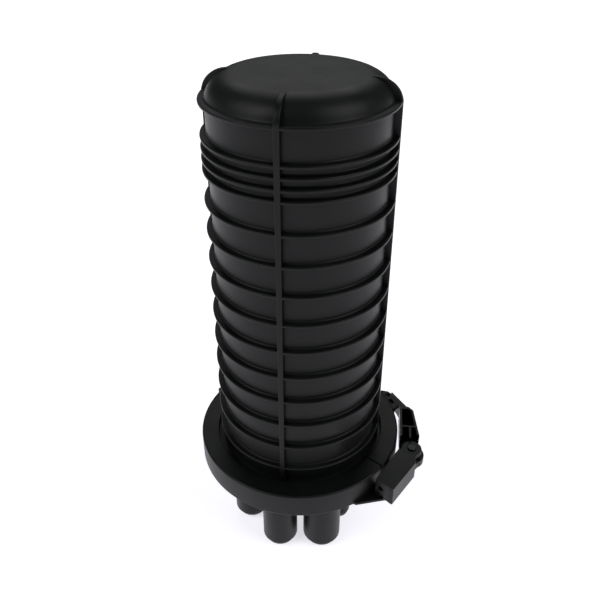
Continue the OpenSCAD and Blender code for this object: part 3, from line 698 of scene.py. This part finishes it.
def wall_radius(sizes, z):
    """Outer radius of the dome's tapering wall at a height."""
    top = DOME_HIGH.z - sizes.shoulder_height
    taper = sizes.head_radius - sizes.foot_radius
    return sizes.foot_radius + taper * (z - JOINT_Z) / (top - JOINT_Z)


def shoulder_line(sizes, out, steps=10):
    """The quarter ellipse from the wall's head to the flat top, as radius and height."""
    base_z = DOME_HIGH.z - sizes.shoulder_height
    reach = sizes.head_radius - sizes.crown_radius + out
    rise = sizes.shoulder_height + min(out, 0.0)
    return [(sizes.crown_radius + reach * math.cos(math.pi / 2 * i / steps),
             base_z + rise * math.sin(math.pi / 2 * i / steps)) for i in range(steps + 1)]


class CLOSURE_OT_dome(bpy.types.Operator):
    """Turns the ribbed dome from its profile and sets the four upright ribs on it"""

    bl_idname = "closure.dome"
    bl_label = "Dome"

    def execute(self, context):
        sizes = context.scene.closure_sizes
        inner = [(0.0, DOME_HIGH.z - sizes.wall_thickness)]
        inner += reversed(shoulder_line(sizes, -sizes.wall_thickness, steps=8))
        inner.append((sizes.foot_radius - sizes.wall_thickness, JOINT_Z))
        flange_r = DOME_HIGH.x
        foot_z = JOINT_Z + FLANGE_T
        outer = [(flange_r, JOINT_Z), (flange_r, JOINT_Z + FLANGE_EDGE_T), (FLANGE_IN_R, foot_z),
                 (sizes.foot_radius + FOOT_OUT, foot_z), (sizes.foot_radius, foot_z + FOOT_UP)]
        tips, roots = [], []
        for z in ring_heights(sizes):
            r = wall_radius(sizes, z)
            tip = r + sizes.rib_reach
            profile = [(r, z - sizes.rib_root / 2), (tip, z), (tip, z + sizes.rib_height),
                       (r, z + sizes.rib_height + sizes.rib_root / 2)]
            tips += profile[1:3]
            roots += [profile[0], profile[3]]
            outer += profile
        outer += shoulder_line(sizes, 0.0)[2:]  # its foot lies inside the top ring rib
        line = inner + outer + [(0.0, DOME_HIGH.z)]
        shell = chain("dome_shell", [(r, 0.0, z) for r, z in line])
        round_corners(shell, [(r, 0.0, z) for r, z in tips], sizes.rib_round)
        round_corners(shell, [(r, 0.0, z) for r, z in roots], sizes.rib_fillet)
        bpy.ops.mesh.select_all(action="SELECT")
        bpy.ops.mesh.spin(
            steps=sizes.turn_steps, angle=2 * math.pi, center=(0, 0, 0), axis=(0, 0, 1))
        close_up(shell)
        smooth(shell)
        self.add_uprights(sizes, shell)
        finish_piece(shell, "closure", "dome_plastic", dome_plastic(), "dome")
        return {"FINISHED"}

    def add_uprights(self, sizes, shell):
        """Rounded ribs that run from the flange over the shoulder to the flat top's edge."""
        out = sizes.rib_reach + UPRIGHT_PROUD
        foot_z = JOINT_Z + FLANGE_T - UPRIGHT_SUNK
        top_z = DOME_HIGH.z - sizes.shoulder_height
        span = sizes.head_radius - sizes.crown_radius
        points = [(sizes.foot_radius - UPRIGHT_ROOT, foot_z), (sizes.foot_radius + out, foot_z),
                  (sizes.head_radius + out, top_z + sizes.rib_height)]
        for i in range(2, UPRIGHT_STEPS + 1):
            a = math.pi / 2 * i / UPRIGHT_STEPS
            end = UPRIGHT_END if i == UPRIGHT_STEPS else 0.0
            rise = (sizes.shoulder_height + UPRIGHT_HUMP * math.cos(a)) * math.sin(a)
            points.append((sizes.crown_radius + (span + out) * math.cos(a) - end,
                           top_z + min(rise, sizes.shoulder_height)))
        across, down = UPRIGHT_INSIDE
        points += [(sizes.crown_radius - UPRIGHT_END, DOME_HIGH.z - UPRIGHT_ROOT),
                   (sizes.crown_radius + span * across, DOME_HIGH.z - sizes.shoulder_height * down),
                   (sizes.head_radius - UPRIGHT_ROOT, top_z)]
        half = sizes.upright_width / 2
        rib = chain("upright_rib", [(r, -half, z) for r, z in points])
        pick(rib, "verts", lambda v: True)
        bpy.ops.mesh.edge_face_add()
        bpy.ops.mesh.extrude_region_move(TRANSFORM_OT_translate={"value": (0, 2 * half, 0)})
        close_up(rib)
        soften(rib, sizes.upright_edge, steps=3, angle=50.0)
        smooth(rib)
        ribs = [rib]
        for _ in range(UPRIGHT_COUNT - 1):
            copy = bpy.data.objects.new("upright_rib", rib.data.copy())
            bpy.context.scene.collection.objects.link(copy)
            ribs.append(copy)
        for i, each in enumerate(ribs):
            edit(each)
            bpy.ops.mesh.select_all(action="SELECT")
            turn_about_axis(math.radians(UPRIGHT_FIRST + i * 360 / UPRIGHT_COUNT))
            bpy.ops.object.mode_set(mode="OBJECT")
        join_forms(shell, *ribs)


def turn_about_axis(angle):
    """Turns what is selected in edit mode about the closure's axis, anticlockwise from above."""
    bpy.ops.transform.rotate(value=-angle, orient_axis="Z", center_override=(0.0, 0.0, 0.0))


# ---------------------------------------------------------------- base, hoops, latch


OVER = 5 * MM             # how far a cutter runs out past the face that it cuts


def at_azimuth(radius, azimuth):
    """A place in plan, from its radius in millimetres and its azimuth in degrees from the front."""
    turn = math.radians(azimuth)
    return Vector((math.sin(turn), -math.cos(turn))) * radius * MM


PLATE_LOW = HOOP_TOP - 4.2 * MM        # underside of the lock plate
TIE_HOLE = at_azimuth(103.4, 113.5)
TIE_HOLE_R = 2.35 * MM
BOSS_R = 3.9 * MM                      # the boss round the tie hole
BOSS_DOWN = 2.4 * MM
BOSS_SUNK = 0.6 * MM                   # how deep it runs into the plate
TAG_SLOT = at_azimuth(102.6, 107.6)
SLOT_X, SLOT_Y = 3.9, 2.3              # half its floor along and across the hoop, in millimetres
SLOT_DOWN = 0.4 * MM                   # the floor, below and above the plate's underside
SLOT_UP = 0.8 * MM


class CLOSURE_OT_base(bpy.types.Operator):
    """Rounds the moulded edges of the ported base"""

    bl_idname = "closure.base"
    bl_label = "Base"

    def execute(self, context):
        body = moulded_copy("base", "base_moulding", context.scene.closure_sizes.base_edge)
        finish_piece(body, "closure", "base_plastic", base_plastic(), "base")
        return {"FINISHED"}


class CLOSURE_OT_hoops(bpy.types.Operator):
    """Rounds the edges of the two hoop halves and completes the lock plate"""

    bl_idname = "closure.hoops"
    bl_label = "Hoop halves"

    def execute(self, context):
        width = context.scene.closure_sizes.hoop_edge
        for node, body in (("hoop_front", "closure"), ("hoop_rear", "rear_half")):
            half = moulded_copy(node, node + "_moulding", width)
            if node == "hoop_rear":
                self.back_lock_plate(half)
            finish_piece(half, body, "hoop_plastic", hoop_plastic(), node)
        return {"FINISHED"}

    def back_lock_plate(self, half):
        """Gives the lock plate a boss under its tie hole, and closes the tag slot's underside."""
        boss = drum("tie_hole_boss", TIE_HOLE, BOSS_R, PLATE_LOW - BOSS_DOWN, PLATE_LOW + BOSS_SUNK)
        hole = drum("tie_hole", TIE_HOLE, TIE_HOLE_R, PLATE_LOW - OVER, PLATE_LOW + OVER)
        carve(boss, hole, "DIFFERENCE")
        out = TAG_SLOT.normalized()
        along = Vector((-out.y, out.x))
        corners = [tuple(TAG_SLOT + along * x * SLOT_X * MM + out * y * SLOT_Y * MM)
                   for x, y in ((-1, -1), (1, -1), (1, 1), (-1, 1))]
        floor = slab("slot_floor", corners, PLATE_LOW - SLOT_DOWN, PLATE_LOW + SLOT_UP)
        for form in (boss, floor):
            smooth(form)
        join_forms(half, boss, floor)


def box_middle(node):
    """The middle of a node's box in plan."""
    low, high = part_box(node)
    return ((low + high) / 2).to_2d()


LINK_P = box_middle("link_pin")
FULCRUM_P = box_middle("fulcrum_pin")
POST_P = at_azimuth(112.2, 47.5)       # the post that the link hooks round
HOOP_R = 100 * MM
LEVER_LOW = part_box("latch_lever")[0].z
LEVER_TOP = LEVER_LOW + 20 * MM
LINK_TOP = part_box("latch_link")[1].z

EAR_R = 9.7 * MM                       # the link's ear round the link pin
BLOCK_NEAR = EAR_R + 1.1 * MM          # from the link pin to the near face of the link's block
BLOCK_HALF = 8.4 * MM                  # half the block's width
EAR_SLOPE = 2.2 * MM                   # the slope from the block's top down to the ear
BLOCK_GAP = 2.3 * MM                   # clearance where the block swings through the lever
EAR_GAP = 0.7 * MM                     # and the ear

ARM_TOP = LEVER_LOW + 8 * MM           # the arm that carries both pins
ARM_R = EAR_R + 2.8 * MM               # its round end at the link pin
FULCRUM_END_R = ARM_R - 4.3 * MM       # and at the fulcrum
ARM_HALF_LINK = ARM_R - 0.7 * MM       # half its width at the link pin
ARM_HALF_FULCRUM = ARM_R - 4.8 * MM    # and at the fulcrum
PIN_BORE_R = 3.05 * MM

# The lever's plan, in millimetres: x from the link pin along its long side, y towards the hoop.
LEVER_BEND = 25.5                      # degrees from the line between the pins to the long side
NEAR_X, CORNER_X, END_X = -3.0, 51.0, 55.0
INNER_X = 2.0                          # where its inner side starts
INNER_END_X = END_X - 0.5              # and ends
NOSE_X, NOSE_Y = END_X + 1.5, 3.0      # the outermost corner of its end
OUTER_Y, OUTER_RISE = -10.1, 7.7       # the outer side's start, and what it gains to the corner
CROSS_X = 26.5                         # middle of the wall between the two cells
TAIL_X = -25.0                         # where the near cell's cutter has run out of the lever
RIB_X, RIB_Y = 4.0, 1.6                # where the long rib starts, and its middle
FIN_ROOT_X = END_X - 3                 # where the finger fin starts, inside the end wall
FIN_REACH, FIN_SWEEP = 25.5, 7.6       # its tip, past the lever's end and past its inner side
FIN_TIP = (-0.4, 1.2)                  # from its tip's outer corner to the inner one
FIN_OUTER, FIN_INNER = (0.8, 2.5), (2.6, -1)  # where it leaves the end wall, outside and inside
FIN_ROOT_Y = (0.5, -1.2)               # its root, from the link pin's line and from the inner side

# Its heights.
FAR_FLOOR = LEVER_LOW + 3 * MM         # the floor of the far cell
NEAR_FLOOR = ARM_TOP - 2 * MM          # and of the near one
RIB_LOW = ARM_TOP - 3 * MM
SWING_LOW = ARM_TOP - 0.5 * MM         # where the block swings
FIN_TOP = LEVER_TOP - 2.5 * MM


def lever_heading():
    """Direction of the lever's long side, bent outwards from the line between its two pins."""
    crank = LINK_P - FULCRUM_P
    turn = math.atan2(crank.y, crank.x) + math.radians(LEVER_BEND)
    return Vector((math.cos(turn), math.sin(turn)))


def lever_plan(points):
    """Places in plan, from places drawn on the lever."""
    along = lever_heading()
    inward = Vector((-along.y, along.x))
    return [tuple(LINK_P + (along * x + inward * y) * MM) for x, y in points]


def outer_side(x):
    """Where the lever's outer side lies, at a place along it."""
    return OUTER_Y + OUTER_RISE * (x - NEAR_X) / (CORNER_X - NEAR_X)


class CLOSURE_OT_latch(bpy.types.Operator):
    """Models the draw latch's channelled lever, and rounds and slopes its link"""

    bl_idname = "closure.latch"
    bl_label = "Draw latch"

    def execute(self, context):
        sizes = context.scene.closure_sizes
        lever = self.make_lever(sizes.lever_wall / MM, sizes.lever_gap)
        clean_up(lever)
        bpy.ops.object.mode_set(mode="OBJECT")
        soften(lever, sizes.latch_edge)
        smooth(lever)
        finish_piece(lever, "lever", "latch_plastic", latch_plastic(), "latch_lever")
        link = moulded_copy("latch_link", "latch_link_moulding", sizes.latch_edge,
                            shape=self.slope_link)
        finish_piece(link, "link", "latch_plastic", latch_plastic(), "latch_link")
        return {"FINISHED"}

    def make_lever(self, wall, gap):
        """A straight-sided channel with two cells, a long rib, a finger fin and the arm."""
        along = lever_heading()
        inner = (LINK_P.dot(Vector((along.y, -along.x))) - HOOP_R - gap) / MM
        channel = slab("latch_lever_moulding", lever_plan([
            (NEAR_X, outer_side(NEAR_X)), (CORNER_X, outer_side(CORNER_X)), (NOSE_X, NOSE_Y),
            (INNER_END_X, inner), (INNER_X, inner)]), LEVER_LOW, LEVER_TOP)
        for cutter in self.cells(wall, inner):
            carve(channel, cutter, "DIFFERENCE")
        rib = self.long_rib(wall)
        fin = self.finger_fin(inner)
        for form in (self.crank_arm(), rib, fin):
            carve(channel, form, "UNION")
        for place in (FULCRUM_P, LINK_P):
            bore = drum("pin_bore", place, PIN_BORE_R, LEVER_LOW - OVER, LEVER_TOP + OVER)
            carve(channel, bore, "DIFFERENCE")
        return channel

    def cells(self, wall, inner):
        """Cutters for the two cells, and for the way that the link's block swings."""
        far_x, near_x, corner_x = CROSS_X + wall / 2, CROSS_X - wall / 2, CORNER_X - wall / 2
        far_cell = lever_plan([
            (far_x, outer_side(far_x) + wall), (corner_x, outer_side(corner_x) + wall),
            (END_X - wall, NOSE_Y), (INNER_END_X - wall, inner - wall), (far_x, inner - wall)])
        near_cell = lever_plan([
            (TAIL_X, outer_side(TAIL_X) + wall), (near_x, outer_side(near_x) + wall),
            (near_x, inner - wall), (TAIL_X, inner - wall)])
        return (slab("far_cell", far_cell, FAR_FLOOR, LEVER_TOP + OVER),
                slab("near_cell", near_cell, NEAR_FLOOR, LEVER_TOP + OVER),
                drum("link_swing", LINK_P, math.hypot(BLOCK_NEAR, BLOCK_HALF) + BLOCK_GAP,
                     SWING_LOW, LEVER_TOP + OVER))

    def long_rib(self, wall):
        """The rib along the near cell, cut back round the link's ear."""
        low_y, high_y = RIB_Y - wall / 2, RIB_Y + wall / 2
        rib = slab("long_rib", lever_plan([
            (RIB_X, low_y), (CROSS_X, low_y), (CROSS_X, high_y), (RIB_X, high_y)]),
            RIB_LOW, LEVER_TOP)
        swing = drum("ear_swing", LINK_P, EAR_R + EAR_GAP, ARM_TOP, LEVER_TOP + OVER)
        carve(rib, swing, "DIFFERENCE")
        return rib

    def finger_fin(self, inner):
        """The fin that a finger pulls, swept in from the lever's end."""
        tip_x, tip_y = END_X + FIN_REACH, inner + FIN_SWEEP
        return slab("finger_fin", lever_plan([
            (FIN_ROOT_X, FIN_ROOT_Y[0]), (END_X + FIN_OUTER[0], FIN_OUTER[1]), (tip_x, tip_y),
            (tip_x + FIN_TIP[0], tip_y + FIN_TIP[1]), (END_X + FIN_INNER[0], inner + FIN_INNER[1]),
            (FIN_ROOT_X, inner + FIN_ROOT_Y[1])]), LEVER_LOW, FIN_TOP)

    def crank_arm(self):
        """The flat arm between the fulcrum and the link pin, with its two round ends."""
        across = (LINK_P - FULCRUM_P).normalized()
        across = Vector((across.y, -across.x))
        arm = slab("crank_arm", [tuple(p) for p in (
            FULCRUM_P + across * ARM_HALF_FULCRUM, LINK_P + across * ARM_HALF_LINK,
            LINK_P - across * ARM_HALF_LINK, FULCRUM_P - across * ARM_HALF_FULCRUM)],
            LEVER_LOW, ARM_TOP)
        carve(arm, drum("fulcrum_end", FULCRUM_P, FULCRUM_END_R, LEVER_LOW, ARM_TOP), "UNION")
        carve(arm, drum("link_end", LINK_P, ARM_R, LEVER_LOW, ARM_TOP), "UNION")
        return arm

    def slope_link(self, link):
        """Slopes the near end of the link's top down towards its ear."""
        along = (POST_P - LINK_P).normalized()
        below, beside = 0.1 * MM, 0.3 * MM  # how far off the edge a vert of it may lie

        def at_near_end(vert):
            reach = (vert.co.to_2d() - LINK_P).dot(along)
            return vert.co.z > LINK_TOP - below and abs(reach - BLOCK_NEAR) < beside

        pick(link, "edges", lambda edge: all(at_near_end(v) for v in edge.verts))
        bpy.ops.mesh.bevel(offset=EAR_SLOPE, segments=1, affect="EDGES")


PIN_HEADS = 3.2 * MM                   # the link pin is wider than this only at its heads
HEAD_SHARE = 0.78                      # what is left of their width


class CLOSURE_OT_pins(bpy.types.Operator):
    """Rounds the heads of the hinge and latch pins, and narrows the link pin's"""

    bl_idname = "closure.pins"
    bl_label = "Pins"

    def execute(self, context):
        width = context.scene.closure_sizes.pin_edge
        for node, body, shape in (
                ("hoop_hinge_pin", "closure", None), ("fulcrum_pin", "rear_half", None),
                ("link_pin", "lever", self.narrow_heads)):
            pin = moulded_copy(node, node + "_turned", width, shape=shape)
            finish_piece(pin, body, "steel", pin_steel(), node)
        return {"FINISHED"}

    def narrow_heads(self, pin):
        """Draws the link pin's heads in to a low rim."""
        pick(pin, "verts", lambda v: (v.co.to_2d() - LINK_P).length > PIN_HEADS)
        bpy.ops.transform.resize(
            value=(HEAD_SHARE, HEAD_SHARE, 1.0), center_override=(*LINK_P, 0.0))


class CLOSURE_OT_inside(bpy.types.Operator):
    """Gives every CAD part its finish, the parts under the dome among them"""

    bl_idname = "closure.inside"
    bl_label = "Parts inside"

    def execute(self, context):
        finish = context.scene.closure_finish
        galvanised = worked_metal("galvanised sheet", finish.galvanised_colour,
                                  rough=0.38, stretch=(1.0, 1.0, 0.15))
        brass = worked_metal("brass", finish.brass_colour, rough=0.28, stretch=(1.0, 1.0, 0.3))
        trays = moulded_plastic("tray plastic", finish.tray_colour,
                                rough=0.40, bump=0.04, specular=0.5, lift=0.04)
        rubber = moulded_plastic("seal rubber", finish.seal_colour,
                                 rough=0.72, grain=2200.0, bump=0.12)
        holder = moulded_plastic("holder rubber", finish.holder_colour,
                                 rough=0.66, grain=2200.0, bump=0.08, lift=0.06)
        finishes = {
            "base": base_plastic(), "dome": dome_plastic(),
            "hoop_front": hoop_plastic(), "hoop_rear": hoop_plastic(),
            "latch_lever": latch_plastic(), "latch_link": latch_plastic(),
            "hoop_hinge_pin": pin_steel(), "fulcrum_pin": pin_steel(), "link_pin": pin_steel(),
            "frame_screws": pin_steel(), "anchor_screws": pin_steel(),
            "tray_hinge_pins": pin_steel(), "support_frame": galvanised,
            "strength_clamps": galvanised, "earth_stud": brass, "seal_ring": rubber,
            "tray_strap": woven_band("strap weave", finish.strap_colour),
            "tray_cover": clear_plastic("clear lid"), "tray_bracket": trays,
            "slack_basket": trays, "cable_anchors": trays}
        for name, node in NODES.items():
            if name.startswith("splice_tray"):
                material = trays
            elif name.startswith("splice_holder"):
                material = holder
            else:
                material = finishes[name]
            node.data.materials.clear()
            node.data.materials.append(material)
        return {"FINISHED"}


# ---------------------------------------------------------------- stage


LAMP_OFF = 2.0            # how far off a lamp is drawn, in metres; its light doesn't depend on it


def soft_light(name, towards, spread, strength):
    """A soft light that shines from a direction, from a disc as wide as its spread in degrees."""
    nothing_selected()
    bpy.ops.object.light_add(type="SUN", location=Vector(towards) * LAMP_OFF)
    lamp = bpy.context.object
    lamp.name = lamp.data.name = name
    lamp.data.energy = strength
    lamp.data.angle = math.radians(spread)
    lamp.rotation_euler = Vector(towards).to_track_quat("Z", "Y").to_euler()


def pale_floor(stage):
    """A matt white light table, lit softly from below."""
    material, tree, shader = new_material("pale floor")
    place = put(tree, "ShaderNodeTexCoord")
    cloudy = put(tree, "ShaderNodeTexNoise", {"Scale": 1.5, "Detail": 3.0})
    join(tree, place, "Object", cloudy, "Vector")
    tone = two_tones(tree, cloudy, 0, scaled(stage.floor_colour, 0.985), stage.floor_colour)
    join(tree, tone, "Result", shader, "Base Color")
    join(tree, tone, "Result", shader, "Emission Color")
    shader.inputs["Emission Strength"].default_value = stage.floor_glow
    shader.inputs["Roughness"].default_value = 0.9
    shader.inputs["Specular IOR Level"].default_value = 0.1
    return material


def surroundings(stage):
    """A studio that is bright at eye level in front and at the sides, and dark higher up.

    The camera sees a plain pale backdrop in its place.
    """
    world = bpy.data.worlds.new("surroundings")
    world.use_nodes = True
    sky = world.node_tree
    background = sky.nodes["Background"]
    background.inputs["Color"].default_value = (0.92, 1.0, 0.98, 1)
    place = put(sky, "ShaderNodeTexCoord")
    way = put(sky, "ShaderNodeSeparateXYZ")
    join(sky, place, "Generated", way, 0)
    front = put(sky, "ShaderNodeMapRange", {
        "From Min": -0.7, "From Max": 0.9, "To Min": stage.horizon, "To Max": stage.far_horizon})
    join(sky, way, "Y", front, "Value")
    aside = math_node(sky, "ABSOLUTE", (way, "X"))
    brighter = graded(sky, aside, 0, 0.25, 0.85, 0.7, 1.5)
    level = math_node(sky, "MULTIPLY", (front, 0), (brighter, 0))
    fall = graded(sky, way, "Z", 0.02, 0.24, 0.0, stage.sky)
    join(sky, level, 0, fall, "To Min")
    join(sky, fall, 0, background, "Strength")
    backdrop = put(sky, "ShaderNodeBackground", {"Color": (0.95, 0.95, 0.955, 1), "Strength": 1.0})
    ray = put(sky, "ShaderNodeLightPath")
    seen = put(sky, "ShaderNodeMixShader")
    join(sky, ray, "Is Camera Ray", seen, 0)
    join(sky, background, 0, seen, 1)
    join(sky, backdrop, 0, seen, 2)
    join(sky, seen, 0, sky.nodes["World Output"], "Surface")
    return world


class CLOSURE_OT_stage(bpy.types.Operator):
    """Lays the pale floor and sets up the soft lights and the camera"""

    bl_idname = "closure.stage"
    bl_label = "Stage"

    def execute(self, context):
        scene = context.scene
        stage = scene.closure_stage
        nothing_selected()
        bpy.ops.mesh.primitive_plane_add(size=stage.floor_size, location=(0.0, 0.0, CAD_BOX[0][2]))
        floor = context.object
        floor.name = floor.data.name = "floor"
        bpy.ops.object.transform_apply(location=True, rotation=False, scale=False)
        floor.data.materials.append(pale_floor(stage))

        soft_light("back light", towards=(0.0, 1.0, 0.95), spread=46.0, strength=stage.back_light)
        for name, side in (("left light", -1.0), ("right light", 1.0)):
            soft_light(name, towards=(side, -0.45, 0.95), spread=40.0, strength=stage.side_light)
        scene.world = surroundings(stage)

        nothing_selected()
        bpy.ops.object.camera_add(
            location=stage.camera_place, rotation=(stage.camera_tilt, 0.0, 0.0))
        camera = context.object
        camera.name = "camera"
        camera.data.lens = stage.lens
        camera.data.sensor_width = 36.0
        camera.data.clip_start = 0.01
        camera.data.clip_end = 50.0
        scene.camera = camera
        scene.view_settings.view_transform = "Standard"
        return {"FINISHED"}


# ---------------------------------------------------------------- panel and registration


PIECE_OPERATORS = (CLOSURE_OT_stage, CLOSURE_OT_inside, CLOSURE_OT_dome, CLOSURE_OT_base,
                   CLOSURE_OT_hoops, CLOSURE_OT_latch, CLOSURE_OT_pins)


class CLOSURE_PT_panel(bpy.types.Panel):
    """Lists the pieces in the order in which they are made"""

    bl_idname = "CLOSURE_PT_panel"
    bl_label = "Dome splice closure"
    bl_space_type = "VIEW_3D"
    bl_region_type = "UI"
    bl_category = "Closure"

    def draw(self, context):
        column = self.layout.column()
        for operator in PIECE_OPERATORS:
            column.operator(operator.bl_idname)
        scene = context.scene
        for group in (scene.closure_sizes, scene.closure_finish, scene.closure_stage):
            column.separator()
            for name in group.__annotations__:
                column.prop(group, name)


CLASSES = (CLOSURE_PG_sizes, CLOSURE_PG_finish, CLOSURE_PG_stage, *PIECE_OPERATORS,
           CLOSURE_PT_panel)


def register():
    for cls in CLASSES:
        bpy.utils.register_class(cls)
    bpy.types.Scene.closure_sizes = PointerProperty(type=CLOSURE_PG_sizes)
    bpy.types.Scene.closure_finish = PointerProperty(type=CLOSURE_PG_finish)
    bpy.types.Scene.closure_stage = PointerProperty(type=CLOSURE_PG_stage)


def unregister():
    del bpy.types.Scene.closure_stage
    del bpy.types.Scene.closure_finish
    del bpy.types.Scene.closure_sizes
    for cls in reversed(CLASSES):
        bpy.utils.unregister_class(cls)


def main():
    register()
    bpy.ops.closure.stage()
    bpy.ops.closure.inside()
    bpy.ops.closure.dome()
    bpy.ops.closure.base()
    bpy.ops.closure.hoops()
    bpy.ops.closure.latch()
    bpy.ops.closure.pins()


if __name__ == "__main__":
    main()
